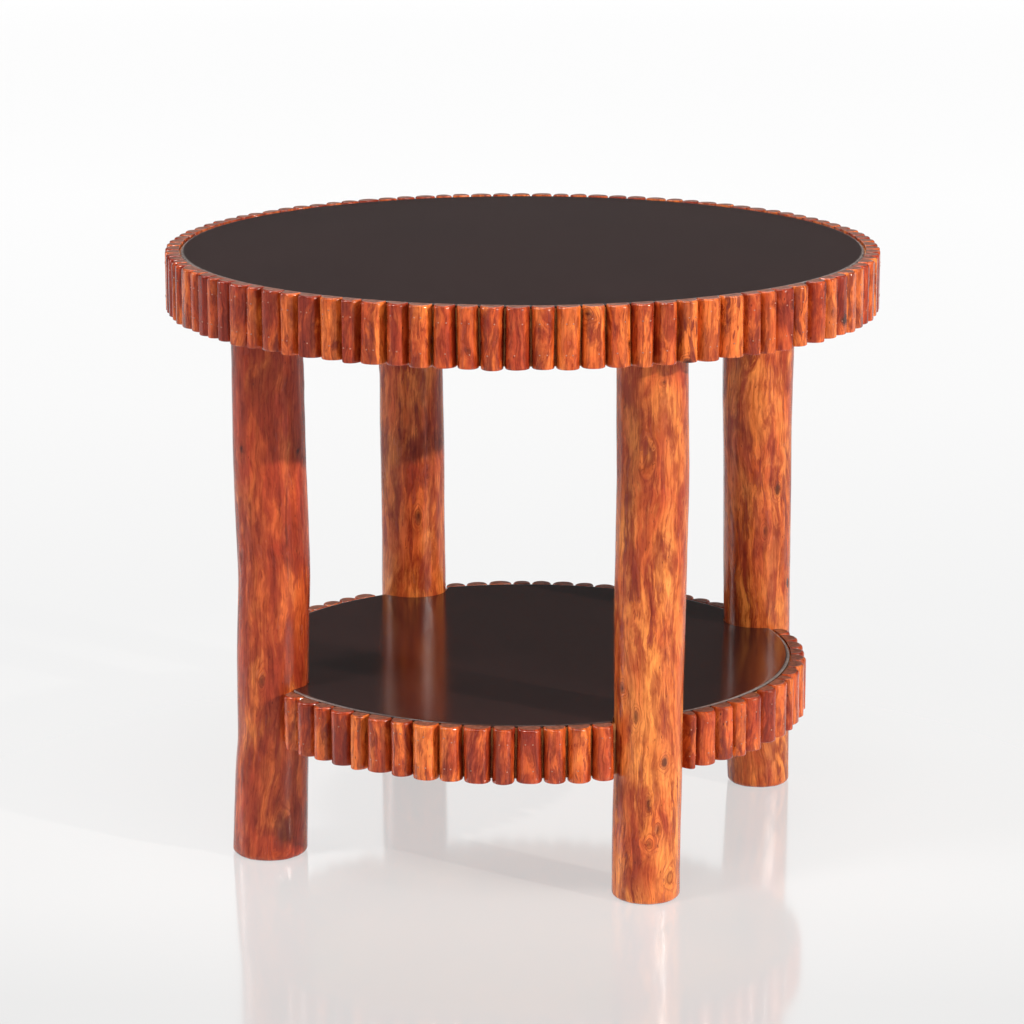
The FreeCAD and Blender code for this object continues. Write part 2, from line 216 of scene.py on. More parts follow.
def knotted(across, along, radius, knots):
    """What the branch knots do at a place on a stick: how far the grain is pushed aside, how
    far the surface rises, how high the growth rings stand there, and how dark a knot is."""
    shift, rise, rings, dark = 0.0, 0.0, 0.0, 0.0
    for side, height, size, tall, proud, strength in knots:
        du = math.radians(turned_apart(across, side)) * radius
        dz = (along - height) / tall
        reach = math.hypot(du, dz) / size
        if reach > KNOT_REACH:
            continue
        reach *= 1 + 0.45 * wavering(du / size * 0.55, dz / size * 0.55, side)
        rings += (0.35 + 0.65 * strength) * 1.8 * hump(reach / 1.9)
        collar, hollow = hump((reach - 1.25) / 0.75), hump(reach / 0.62)
        rise += proud * (collar - 0.9 * hollow)
        dark = max(dark, strength * max(0.0, min(1.0, 1.35 - reach)))
        shift -= du * min(1.0, 1.0 / max(reach, 0.3) ** 2) * (0.9 if reach > 1 else 0.2)
    return shift, rise, rings, dark


def uneven(turn, height, around, along, seed):
    """A steady unevenness of a pole, from -1 to 1, finer for larger values around and along."""
    return wavering(math.cos(turn) * around, math.sin(turn) * around, height * along + seed)


def pole_levels(foot, head):
    """The heights of a pole's rings of points, close together where its foot is rounded."""
    heights = [foot, *(foot + FOOT_ROUNDING * share for share in FOOT_LEVEL_SHARES)]
    start = heights[-1]
    steps = round((head - start) / POLE_LEVEL_STEP)
    return np.array(heights + [start + (head - start) * (step + 1) / steps for step in range(steps)])


def cracked(name, across, height, radius, seed):
    """How deep a pole's drying crack cuts at a place, and how dark it is there."""
    cut_in, dark = 0.0, 0.0
    for low_side, low, high_side, high, half_width, deep in CRACKS.get(name, ()):
        share = (height - low) / (high - low)
        if 0 < share < 1:
            wobble = CRACK_WOBBLE * wavering(height * 60, seed, 0)
            side = low_side + (high_side - low_side) * share + wobble
            off = math.radians(turned_apart(across, side)) * radius / half_width
            cut = hump(off) * min(1.0, 4 * share, 4 * (1 - share))
            cut_in += deep * cut
            dark = max(dark, CRACK_DARKNESS * cut ** 2)
    return cut_in, dark


def make_pole(name, seed):
    """One pole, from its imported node's rings, with its wander, hollows, knots and rounded foot."""
    rings = pole_rings("leg_" + name)
    foot, head = rings[0][0], rings[-1][0]
    heights = pole_levels(foot, head)
    body = rings[1:]
    middles_x, middles_y, radii = (
        smoothed(np.interp(heights, body[:, 0], body[:, column]), SMOOTHING_REACH) for column in (1, 2, 3))
    made = tuple([] for _ in range(7))
    points, faces, grain, knot_rings, darks, sawn, tones = made
    for level, height in enumerate(heights):
        # Painted shade: each pole is painted darker towards the top, where the table top shades it
        tone = POLE_TONES[name] + PAINTED_SHADE_TONE_RISE * (height - MIDDLE_HEIGHT)
        clear = min(1.0, max(0.0, (SEAT_LOW - height) / SEAT_FADE, (height - SEAT_HIGH) / SEAT_FADE))
        under = max(0.0, 1 - (height - foot) / FOOT_ROUNDING)
        rounding = FOOT_ROUNDING * (1 - math.sqrt(max(0.0, 1 - under ** 2)))
        for strip in range(POLE_STRIPS):
            across = 360 * strip / POLE_STRIPS
            turn = math.radians(across)
            out = uneven(turn, height, 1, 9, seed) * WANDER + uneven(turn, height, 3.2, 7, seed) * HOLLOWS
            out = out * clear - SEAT_INSET * (1 - clear) + uneven(turn, height, 9, 60, seed) * RIPPLES
            shift, rise, ring, dark = knotted(across, height, radii[level], POLE_KNOTS[name])
            out += rise * (SEAT_KNOT_SHARE + (1 - SEAT_KNOT_SHARE) * clear)
            cut_in, crack_dark = cracked(name, across, height, radii[level], seed)
            radius = radii[level] + out - cut_in - rounding
            points.append((middles_x[level] + radius * math.cos(turn),
                           middles_y[level] + radius * math.sin(turn), height))
            grain.append((turn * radii[level] + shift, height, seed))
            knot_rings.append(ring)
            darks.append(max(dark, crack_dark))
            sawn.append(0.0)
            tones.append(tone)
    faces += skin(0, POLE_STRIPS, len(heights))
    for level, downward in ((0, True), (len(heights) - 1, False)):
        edge = range(level * POLE_STRIPS, (level + 1) * POLE_STRIPS)
        close_end(made, edge, POLE_END_SHARES, downward, seed, tones[edge[0]])
    return hickory_piece("pole_" + name, made)


def fill_in(node, inputs):
    """Give a shader node's sockets their links, plain values or colours."""
    for socket, value in inputs.items():
        target = node.inputs[socket]
        if isinstance(value, bpy.types.NodeSocket):
            node.id_data.links.new(value, target)
        else:
            target.default_value = (*value, 1) if target.type == "RGBA" else value


def node_maker(tree):
    """A way to add a shader node with its inputs and its settings in one line."""
    def add(kind, inputs=None, **settings):
        node = tree.nodes.new("ShaderNode" + kind)
        for key, value in settings.items():
            setattr(node, key, value)
        fill_in(node, inputs or {})
        return node
    return add


def new_material(name):
    """An empty node material, its shader and the way to add nodes to it."""
    material = bpy.data.materials.new(name)
    material.use_nodes = True
    return material, material.node_tree.nodes["Principled BSDF"], node_maker(material.node_tree)


def ramp(add, factor, stops):
    """A colour ramp over a factor, from its stops."""
    node = add("ValToRGB", {"Fac": factor})
    elements = node.color_ramp.elements
    for number, (place, colour) in enumerate(stops):
        stop = elements[number] if number < 2 else elements.new(place)
        stop.position = place
        stop.color = (*colour, 1) if isinstance(colour, tuple) else (colour, colour, colour, 1)
    return node.outputs["Color"]


def shade_of(colour, by):
    """A darker or paler shade of a colour."""
    return tuple(by * part for part in colour)


def blend_colours(add, factor, first, second, how="MIX"):
    """Two colours mixed by a factor."""
    node = add("Mix", data_type="RGBA", blend_type=how)
    fill_in(node, {0: factor, 6: first, 7: second})
    return node.outputs[2]


def calculate(add, how, first, second=0.0, third=0.0):
    """A sum, product or other plain calculation."""
    return add("Math", {0: first, 1: second, 2: third}, operation=how).outputs[0]


def clouds(add, place, scale, detail, roughness=0.5, distortion=0.0):
    """A cloudy noise over a place."""
    return add("TexNoise", {"Vector": place, "Scale": scale, "Detail": detail, "Roughness": roughness,
                            "Distortion": distortion}).outputs["Fac"]


def relief(add, height, strength, distance):
    """A fine relief on a finish."""
    return add("Bump", {"Height": height, "Strength": strength, "Distance": distance}).outputs[0]


def varnished_hickory(name, light, amber, brown, blotch, deepest, sawn_light, sawn_dark, blotch_share,
                      fineness, gloss, coat_bend):
    """Peeled hickory under a glossy amber varnish: a ground that drifts from light to brown,
    patches of stain, ragged dark blotches drawn out along a grain that wanders, fine streaks
    and flecks, growth rings round the knots, dark knot hearts, cracks and painted shade deep
    down the slats' sides, and dusty end grain where it is sawn off."""
    material, shader, add = new_material(name)
    grain = add("Attribute", attribute_name="grain").outputs["Vector"]
    rings, dark, sawn, tone = (add("Attribute", attribute_name=label).outputs["Fac"]
                               for label in ("rings", "dark", "sawn", "tone"))

    def scaled(value, by):
        """A value times another."""
        return calculate(add, "MULTIPLY", value, by)

    def shifted(value, by, amount):
        """A value moved by a share of another."""
        return calculate(add, "ADD", value, scaled(by, amount))

    lean = calculate(add, "SUBTRACT", tone, 0.5)
    slow = add("Mapping", {"Vector": grain, "Scale": (1, 0.45, 1)}).outputs[0]
    sway = clouds(add, slow, 30.0, 3.0)
    aside = add("CombineXYZ", {"X": scaled(calculate(add, "SUBTRACT", sway, 0.5), 0.016)}).outputs[0]
    bent = add("VectorMath", {0: grain, 1: aside}, operation="ADD").outputs[0]

    def figure(along, scale, detail, roughness, distortion, shift):
        """A cloudy figure drawn out along the bent grain, taken from its own place in the noise."""
        drawn = add("Mapping", {"Vector": bent, "Scale": (1, along, 1), "Location": (shift, 0, 0)})
        return clouds(add, drawn.outputs[0], scale, detail, roughness, distortion)

    # The ground, its stained patches and its pale strokes
    drift = shifted(figure(0.32, 30 * fineness, 4, 0.55, 0.4, 1.3), lean, 0.42)
    ground = ramp(add, drift, ((0.30, brown), (0.48, amber), (0.68, light)))
    stain = shifted(figure(0.26, 60 * fineness, 5, 0.58, 0.5, 4.7), lean, -0.30)
    stain_mask = ramp(add, stain, ((0.47, 0.0), (0.56, 0.75), (0.75, 1.0)))
    ground = blend_colours(add, stain_mask, ground, shade_of(brown, 0.70))
    pale_strokes = ramp(add, figure(0.16, 190 * fineness, 5, 0.62, 0.4, 15.2), ((0.53, 0.0), (0.68, 0.68)))
    pale_mask = scaled(pale_strokes, calculate(add, "ADD", scaled(lean, 1.5), 0.5))
    ground = blend_colours(add, pale_mask, ground, light)
    # Dark blotches, thick in some places and thin in others, then the fine mottle and streaks
    density = ramp(add, figure(0.30, 26 * fineness, 2, 0.5, 0.0, 18.6), ((0.38, 0.35), (0.60, 1.0)))
    vigour = scaled(density, calculate(add, "ADD", scaled(lean, 0.8), blotch_share))
    patches = figure(0.13, 100 * fineness, 6, 0.62, 0.35, 8.3)
    patch_mask = scaled(ramp(add, patches, ((0.515, 0.0), (0.560, 0.80), (0.75, 1.0))), vigour)
    ground = blend_colours(add, patch_mask, ground, blotch)
    mottle = ramp(add, figure(0.25, 150 * fineness, 5, 0.66, 0.3, 21.5),
                  ((0.34, (0.70, 0.56, 0.52)), (0.50, 1.0), (0.66, (1.16, 1.20, 1.22))))
    ground = blend_colours(add, 1.0, ground, mottle, "MULTIPLY")
    streaks = figure(0.030, 560, 5, 0.62, 0.15, 9.1)
    streak_tint = ramp(add, streaks, ((0.32, (0.62, 0.50, 0.46)), (0.50, 1.0), (0.72, (1.16, 1.20, 1.20))))
    ground = blend_colours(add, 1.0, ground, streak_tint, "MULTIPLY")
    flecks = ramp(add, figure(0.13, 290 * fineness, 4, 0.62, 0.3, 12.4), ((0.575, 0.0), (0.630, 0.85)))
    ground = blend_colours(add, scaled(flecks, vigour), ground, blotch)
    # Growth rings, faint everywhere and plain round the knots
    swell = figure(0.16, 46 * fineness, 3, 0.5, 0.2, 6.2)
    wave = calculate(add, "SINE", scaled(shifted(rings, swell, 1.1), 19.0))
    ring_line = ramp(add, wave, ((0.30, 0.0), (0.95, 1.0)))
    faint = ramp(add, figure(0.4, 60, 2, 0.5, 0.0, 2.4), ((0.46, 0.0), (0.70, 0.42)))
    near_knot = calculate(add, "MINIMUM", scaled(rings, 0.75), 0.60)
    ring_mask = scaled(ring_line, calculate(add, "MAXIMUM", faint, near_knot))
    ground = blend_colours(add, ring_mask, ground, blotch)
    # Pores, the hearts of the knots, the dark of the cracks, painted shade down the slats' sides towards
    # their backs, and the sawn ends
    long_cells = add("Mapping", {"Vector": grain, "Scale": (1, 0.28, 1)}).outputs[0]
    pits = add("TexVoronoi", {"Vector": long_cells, "Scale": 340.0}).outputs["Distance"]
    pitted = ramp(add, figure(0.5, 140, 2, 0.5, 0.0, 7.7), ((0.54, 0.0), (0.64, 0.9)))
    pit_mask = scaled(ramp(add, pits, ((0.07, 1.0), (0.19, 0.0))), pitted)
    ground = blend_colours(add, pit_mask, ground, deepest)
    knot_crack_and_painted_shade_mask = ramp(add, dark, ((0.05, 0.0), (0.50, 0.80), (0.95, 1.0)))
    ground = blend_colours(add, knot_crack_and_painted_shade_mask, ground, deepest)
    end_grain = ramp(add, figure(1.0, 210, 5, 0.65, 0.0, 3.3), ((0.36, sawn_dark), (0.62, sawn_light)))
    ground = blend_colours(add, sawn, ground, end_grain)
    # The varnish, duller over the blotches and the sawn ends, with a fine peel in its surface
    dull = calculate(add, "ADD", scaled(figure(0.3, 70, 3, 0.6, 0.0, 5.5), 0.20), 0.12)
    dull = shifted(shifted(dull, patch_mask, 0.08), sawn, 0.35)
    height = calculate(add, "ADD", scaled(streaks, 0.5), scaled(patches, 0.5))
    height = shifted(shifted(height, knot_crack_and_painted_shade_mask, -0.35), pit_mask, -0.25)
    peel = figure(0.45, 330, 3, 0.55, 0.0, 31.0)
    fill_in(shader, {"Base Color": ground, "Roughness": dull, "Normal": relief(add, height, 0.32, 0.0008),
                     "Coat Normal": relief(add, peel, 0.60, 0.0012), "Specular IOR Level": 0.16,
                     "Coat Weight": 0.60, "Coat Roughness": gloss, "Coat IOR": coat_bend})
    return material


pole_wood = varnished_hickory(
    "peeled_pole_wood", light=(0.70, 0.225, 0.048), amber=(0.53, 0.106, 0.024), brown=(0.38, 0.045, 0.015),
    blotch=(0.20, 0.020, 0.009), deepest=(0.035, 0.006, 0.004), sawn_light=(0.44, 0.19, 0.11),
    sawn_dark=(0.20, 0.07, 0.038), blotch_share=0.80, fineness=1.0, gloss=0.19, coat_bend=1.36)
for number, corner in enumerate(POLE_TONES):
    pole = make_pole(corner, FIRST_POLE_SEED + POLE_SEED_STEP * number)
    pole.data.materials.append(pole_wood)
    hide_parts("leg_" + corner)
    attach(pole, "root")


# The round boards of the top and the shelf, with the sawn arcs under their rims and the blocks
# that hold the shelf to the poles. Plain stained wood, out of sight but for their undersides,
# screwed together from below with countersunk cross-head screws.

def stained_board(name, light, dark, along, across, roughness):
    """Sawn board with its grain along the X axis, stained and brushed thin."""
    material, shader, add = new_material(name)
    place = add("TexCoord").outputs["Object"]
    drawn = add("Mapping", {"Vector": place, "Scale": (along, across, across)}).outputs[0]
    bands = clouds(add, drawn, 5.0, 8.0, 0.62, 0.7)
    colour = ramp(add, bands, ((0.34, dark), (0.62, light)))
    fine = clouds(add, drawn, 55.0, 4.0, 0.6)
    shade = ramp(add, fine, ((0.3, 0.55), (0.6, 1.0)))
    colour = blend_colours(add, 0.5, colour, shade, "MULTIPLY")
    saw = add("TexWave", {"Vector": place, "Scale": 90.0, "Distortion": 3.0, "Detail": 2.0},
              bands_direction="DIAGONAL").outputs["Fac"]
    height = calculate(add, "ADD", fine, calculate(add, "MULTIPLY", saw, 0.25))
    fill_in(shader, {"Base Color": colour, "Normal": relief(add, height, 0.35, 0.0006),
                     "Roughness": ramp(add, fine, ((0.3, roughness + 0.12), (0.7, roughness))),
                     "Specular IOR Level": 0.3})
    return material


def eased(piece, width):
    """Sanded arrises on a sawn piece."""
    bevel = piece.modifiers.new("eased arrises", "BEVEL")
    bevel.width = width
    bevel.segments = 2
    bevel.limit_method = "ANGLE"
    bevel.angle_limit = math.radians(50)


board_wood = stained_board("stained_board_wood", light=(0.80, 0.330, 0.100), dark=(0.52, 0.180, 0.050),
                           along=1.2, across=14.0, roughness=0.5)
# The rims' stain is darker than the boards', partly as painted shade where the rims show in the gaps
# between the slats
rim_wood_and_gap_shade = stained_board("stained_rim_wood", light=(0.58, 0.190, 0.055), dark=(0.34, 0.090, 0.028),
                         along=2.5, across=11.0, roughness=0.5)
block_wood = stained_board("block_wood", light=(0.66, 0.300, 0.110), dark=(0.40, 0.160, 0.055),
                           along=3.0, across=18.0, roughness=0.55)
RIM_ARRIS = 0.001
BLOCK_ARRIS = 0.0015
for label, finish, arris in (("top_board", board_wood, 0.0), ("shelf_board", board_wood, 0.0),
                             ("top_rim", rim_wood_and_gap_shade, RIM_ARRIS), ("shelf_rim", rim_wood_and_gap_shade, RIM_ARRIS),
                             ("shelf_block", block_wood, BLOCK_ARRIS)):
    for node_name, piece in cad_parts.items():
        if node_name.startswith(label):
            piece.data.materials.clear()
            piece.data.materials.append(finish)
            if arris:
                eased(piece, arris)


SCREW_RADIUS = 0.0040
SCREW_STRIPS = 48
SCREW_RING_SHARES = (0.10, 0.18, 0.26, 0.34, 0.42, 0.50, 0.60, 0.72, 0.85, 0.97, 1.0)
SCREW_PROUD = 0.0004
SCREW_SKIRT = 0.0012
FACE_DOMING = 0.00012
CROSS_HALF_WIDTH = 0.00055
CROSS_REACH = 0.0024
CROSS_DEPTH = 0.0011
CROSS_CENTRE_DEPTH = 0.0010
RIM_SCREW_STRAY = 0.003
BLOCK_SCREW_SPACING = 0.054
BLOCK_SCREW_INSET = 0.004


def add_screw(x, y, z, turn, points, faces):
    """A countersunk cross head, seen from below, standing a hair out of a level underside."""
    start = len(points)
    points.append((x, y, z - SCREW_PROUD + CROSS_CENTRE_DEPTH))
    for share in SCREW_RING_SHARES:
        for strip in range(SCREW_STRIPS):
            angle, reach = 2 * math.pi * strip / SCREW_STRIPS, SCREW_RADIUS * share
            px, py = abs(reach * math.cos(angle)), abs(reach * math.sin(angle))
            crossed = min(px, py) < CROSS_HALF_WIDTH and max(px, py) < CROSS_REACH
            sunk = CROSS_DEPTH if crossed else FACE_DOMING * share ** 2
            if share == 1.0:
                sunk += SCREW_SKIRT
            points.append((x + reach * math.cos(angle + turn), y + reach * math.sin(angle + turn),
                           z - SCREW_PROUD + sunk))
    for strip in range(SCREW_STRIPS):
        faces.append((start, start + 1 + (strip + 1) % SCREW_STRIPS, start + 1 + strip))
    faces += skin(start + 1, SCREW_STRIPS, len(SCREW_RING_SHARES))


def ring_span(node):
    """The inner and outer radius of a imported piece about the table's axis, and its underside."""
    spots = [vertex.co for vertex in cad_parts[node].data.vertices]
    reach = [math.hypot(p.x, p.y) for p in spots]
    return min(reach), max(reach), min(p.z for p in spots)


def zinc_steel(name, colour, roughness):
    """Dull plated steel with a little tarnish."""
    material, shader, add = new_material(name)
    cloud = clouds(add, add("TexCoord").outputs["Object"], 900.0, 4.0)
    fill_in(shader, {"Base Color": ramp(add, cloud, ((0.3, shade_of(colour, 0.55)), (0.7, colour))),
                     "Roughness": ramp(add, cloud, ((0.3, roughness + 0.15), (0.7, roughness))),
                     "Normal": relief(add, cloud, 0.2, 0.0002), "Metallic": 1.0})
    return material


FRONT, FIRST_POLE = 270, 225
screw_points, screw_faces = [], []
for label, screws_each, first_side in (("top_rim", 3, FRONT), ("shelf_rim", 2, FIRST_POLE)):
    inner, outer, underside = ring_span(label + "_1")
    for quarter in range(4):
        for screw in range(screws_each):
            side = first_side + 90 * (quarter + (screw + 0.5) / screws_each)
            reach = (inner + outer) / 2 + RIM_SCREW_STRAY * math.sin(5 * side)
            turn = math.radians(side)
            add_screw(reach * math.cos(turn), reach * math.sin(turn), underside, 1.7 * side,
                      screw_points, screw_faces)
for corner in POLE_TONES:
    low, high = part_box("shelf_block_" + corner)
    middle = (low + high) / 2
    outward = Vector((middle.x, middle.y, 0)).normalized()
    along = Vector((-middle.y, middle.x, 0)).normalized()
    for side in (-1, 1):
        spot = middle + along * side * BLOCK_SCREW_SPACING / 2 - outward * BLOCK_SCREW_INSET
        add_screw(spot.x, spot.y, low.z, 3.1 * spot.x + side, screw_points, screw_faces)
screws = make_mesh("underside_screws", screw_points, screw_faces, {}, smooth=False)
screws.data.materials.append(zinc_steel("plated_screw_steel", (0.62, 0.60, 0.56), 0.35))
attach(screws, "root")


# The split slats that clothe both rims. Short billets of hickory, split flat at the back and
# round in front, sawn off and rubbed round at both ends, no two the same width or colour. Two
# pairs of brads hold each one to the rim.

Slat = namedtuple("Slat", "turn out across back depth top bottom top_edges bottom_edges")
# The furthest that a slat's front may stand from the middle of the table
CROWN_REACH = min(-cad_low[0], -cad_low[1], cad_high[0], cad_high[1]) - 0.0005
SLAT_SIDE_STEPS = 3
SLAT_ARC_STEPS = 26
SLAT_LEVELS = 13
END_ROUNDING = 0.0032
FOOT_EASE = 0.0016
END_SHARES = (0.0, 0.03, 0.12, 0.3, 0.6, 1.0)
SAWN_END_SHARES = (0.94, 0.47)
# How full and how lopsided a front may be, and how far its straight sides reach forward
LEAST_FULLNESS, FULLNESS_SPREAD = 1.90, 0.45
SKEW_SPREAD = 0.45
LEAST_SHOULDER, SHOULDER_SPREAD = 0.05, 0.10
HIGHEST_TOP_DROP = 0.0004
EDGE_WANDER, EDGE_INSET = 0.0004, 0.0002
LUMPS, SWELLS, FRONT_INSET = 0.0003, 0.0006, 0.0001
# How dark the slats' sides are painted towards their backs, as painted shade in the gaps between slats, and
# over what share of the depth that shade fades out
PAINTED_CREVICE_SHADE, CREVICE_SHARE = 0.12, 0.6
UP = Vector((0, 0, 1))
# How pale the slats are, from 0 to 1. The top's are painted darker to the left of the front, as
# painted shade, and paler to the right of it, as painted light.
SLAT_TONE, TONE_SPREAD, SHELF_PALER = 0.54, 0.70, 0.10
TOP_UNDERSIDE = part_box("top_rim_1")[0].z
PAINTED_SHADE_SIDE, PAINTED_SHADE_AMOUNT, PAINTED_SHADE_SPREAD = 235, 0.34, 27
PAINTED_LIGHT_SIDE, PAINTED_LIGHT_AMOUNT, PAINTED_LIGHT_SPREAD = 320, 0.16, 22
# Knots on the front slats: their turn round the table in degrees, then as for the poles
SLAT_KNOTS = (
    (242.3, 0.6130, 0.0022, 1.0, 0.0004, 0.35), (314.6, 0.5745, 0.0028, 1.3, 0.0004, 0.8),
    (299.0, 0.6270, 0.0042, 1.4, 0.0012, 0.45), (281.0, 0.5900, 0.0020, 1.3, 0.0003, 0.7),
    (325.0, 0.6000, 0.0020, 1.4, 0.0003, 0.8), (305.0, 0.5950, 0.0022, 1.4, 0.0004, 0.8),
)
FRONT_START, FRONT_END = 215, 330
KNOTTY_SHARE = 0.3


def packed_slats(node):
    """Each slat of a node: its turn, which ways are out and across, how far out its back is, its
    depth, top and bottom, and its left and right edges at the top and at the bottom."""
    whole = bmesh.new()
    whole.from_mesh(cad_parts[node].data)
    bmesh.ops.remove_doubles(whole, verts=whole.verts, dist=1e-5)
    seen, found = set(), []
    for first in whole.verts:
        if first in seen:
            continue
        island = [first]
        seen.add(first)
        for vertex in island:
            for other in (edge.other_vert(vertex) for edge in vertex.link_edges):
                if other not in seen:
                    seen.add(other)
                    island.append(other)
        points = [vertex.co.copy() for vertex in island]
        sides = {face for vertex in island for face in vertex.link_faces}
        middle = sum(points, Vector())
        outward = Vector((middle.x, middle.y, 0)).normalized()
        inward = Vector()
        for face in sides:
            if abs(face.normal.z) < 0.1 and face.normal.dot(outward) < -0.9:
                inward += face.normal * face.calc_area()
        out = Vector((-inward.x, -inward.y, 0)).normalized()
        across = UP.cross(out)
        depth_at = [point.dot(out) for point in points]
        back, front = min(depth_at), max(depth_at)
        top, bottom = max(point.z for point in points), min(point.z for point in points)
        edges = []
        for level in (top, bottom):
            corners = [point.dot(across) for point in points
                       if abs(point.z - level) < 1e-4 and abs(point.dot(out) - back) < 2e-4]
            edges.append((min(corners), max(corners)))
        turn = math.degrees(math.atan2(out.y, out.x)) % 360
        found.append(Slat(turn, out, across, back, front - back, top, bottom, *edges))
    whole.free()
    return sorted(found, key=lambda slat: slat.turn)


def slat_outline(half_width, depth, fullness, skew, square):
    """The section of a split billet, from its right back corner round the front to its left
    back corner: sides that stand up straight, then a round front."""
    shoulder = depth * square
    side, arc = [], []
    for step in range(SLAT_SIDE_STEPS):
        bulge = 0.96 + 0.04 * math.sin(math.pi * step / SLAT_SIDE_STEPS)
        side.append((half_width * bulge, shoulder * step / SLAT_SIDE_STEPS))
    for step in range(SLAT_ARC_STEPS + 1):
        turn = math.pi * step / SLAT_ARC_STEPS
        wide, high = math.cos(turn), max(0.0, math.sin(turn))
        across = math.copysign(abs(wide) ** (2 / fullness), wide)
        across += skew * (1 - across ** 2) / 2
        arc.append((half_width * across, shoulder + (depth - shoulder) * high ** (2 / fullness)))
    return side + arc + [(-x, y) for x, y in side[::-1]]


def chance(number, salt):
    """A steady value from 0 to 1 for a numbered slat."""
    return (math.sin(number * 12.9898 + salt * 78.233) * 43758.5453) % 1.0


def slat_knots(slat, number, half_width):
    """A slat's knots, their side given as an angle round its front from 0 to 180."""
    found = []
    for turn, height, size, tall, proud, strength in SLAT_KNOTS:
        off = math.radians(turned_apart(turn, slat.turn)) * (slat.back + slat.depth)
        if abs(off) < half_width and slat.bottom < height < slat.top:
            found.append((math.degrees(math.acos(off / half_width)), height, size, tall, proud, strength))
    if not FRONT_START < slat.turn < FRONT_END and chance(number, 5) > 1 - KNOTTY_SHARE:
        side = 90 + 70 * (chance(number, 6) - 0.5)
        height = slat.bottom + (slat.top - slat.bottom) * (0.12 + 0.76 * chance(number, 7))
        size = 0.0015 + 0.0015 * chance(number, 8)
        found.append((side, height, size, 1.6, 0.0004, 0.5 + 0.5 * chance(number, 9)))
    return found


BRAD_RADIUS = 0.00058
BRAD_STRIPS = 10
# Rings of a brad from the bruise round it to the middle of its head: the share of its radius,
# how proud of the wood, and whether it is bruised wood
BRAD_PROFILE = ((1.9, -0.00010, 1.0), (1.25, 0.00003, 1.0), (1.0, 0.00010, 0.0),
                (0.9, 0.00030, 0.0), (0.5, 0.00042, 0.0))
BRAD_ROW_SHARES = (0.24, 0.76)
BRAD_ROW_SPREAD = 0.05
HIDDEN_BRADS_SHARE = 0.22
BRAD_HALF_SPACING, BRAD_SPREAD = 0.0032, 0.0010


def add_brad(centre, facing, made):
    """A brad's small domed head and the dark ring that it has bruised into the wood round it."""
    points, faces, stains = made
    sideways = UP.cross(facing).normalized()
    upward = facing.cross(sideways)
    start = len(points)
    for share, proud, stain in BRAD_PROFILE:
        for strip in range(BRAD_STRIPS):
            angle = 2 * math.pi * strip / BRAD_STRIPS
            off = (sideways * math.cos(angle) + upward * math.sin(angle)) * BRAD_RADIUS * share
            points.append(tuple(centre + off + facing * proud))
            stains.append(stain)
    faces += skin(start, BRAD_STRIPS, len(BRAD_PROFILE))
    last = start + (len(BRAD_PROFILE) - 1) * BRAD_STRIPS
    faces.append(tuple(range(last, last + BRAD_STRIPS)))


def slat_tone(slat, number):
    """How pale a slat is, by chance, and on the top by its place round the table: painted shade to the left
    of the front and painted light to the right of it.
    """
    tone = SLAT_TONE + TONE_SPREAD * (chance(number, 4) - 0.5)
    if slat.top < TOP_UNDERSIDE:
        return tone + SHELF_PALER
    # Painted shade on the top's slats to the left of the front, then painted light to the right of it
    tone -= PAINTED_SHADE_AMOUNT * hump(turned_apart(slat.turn, PAINTED_SHADE_SIDE) / PAINTED_SHADE_SPREAD)
    return tone + PAINTED_LIGHT_AMOUNT * hump(turned_apart(slat.turn, PAINTED_LIGHT_SIDE) / PAINTED_LIGHT_SPREAD)


def slat_levels(length):
    """The heights of a slat's rings of points, close together where its ends are rubbed round."""
    straight = length - FOOT_EASE - END_ROUNDING
    heights = [FOOT_EASE * share for share in END_SHARES]
    heights += [FOOT_EASE + straight * level / SLAT_LEVELS for level in range(1, SLAT_LEVELS)]
    return heights + [length - END_ROUNDING * share for share in END_SHARES[::-1]]


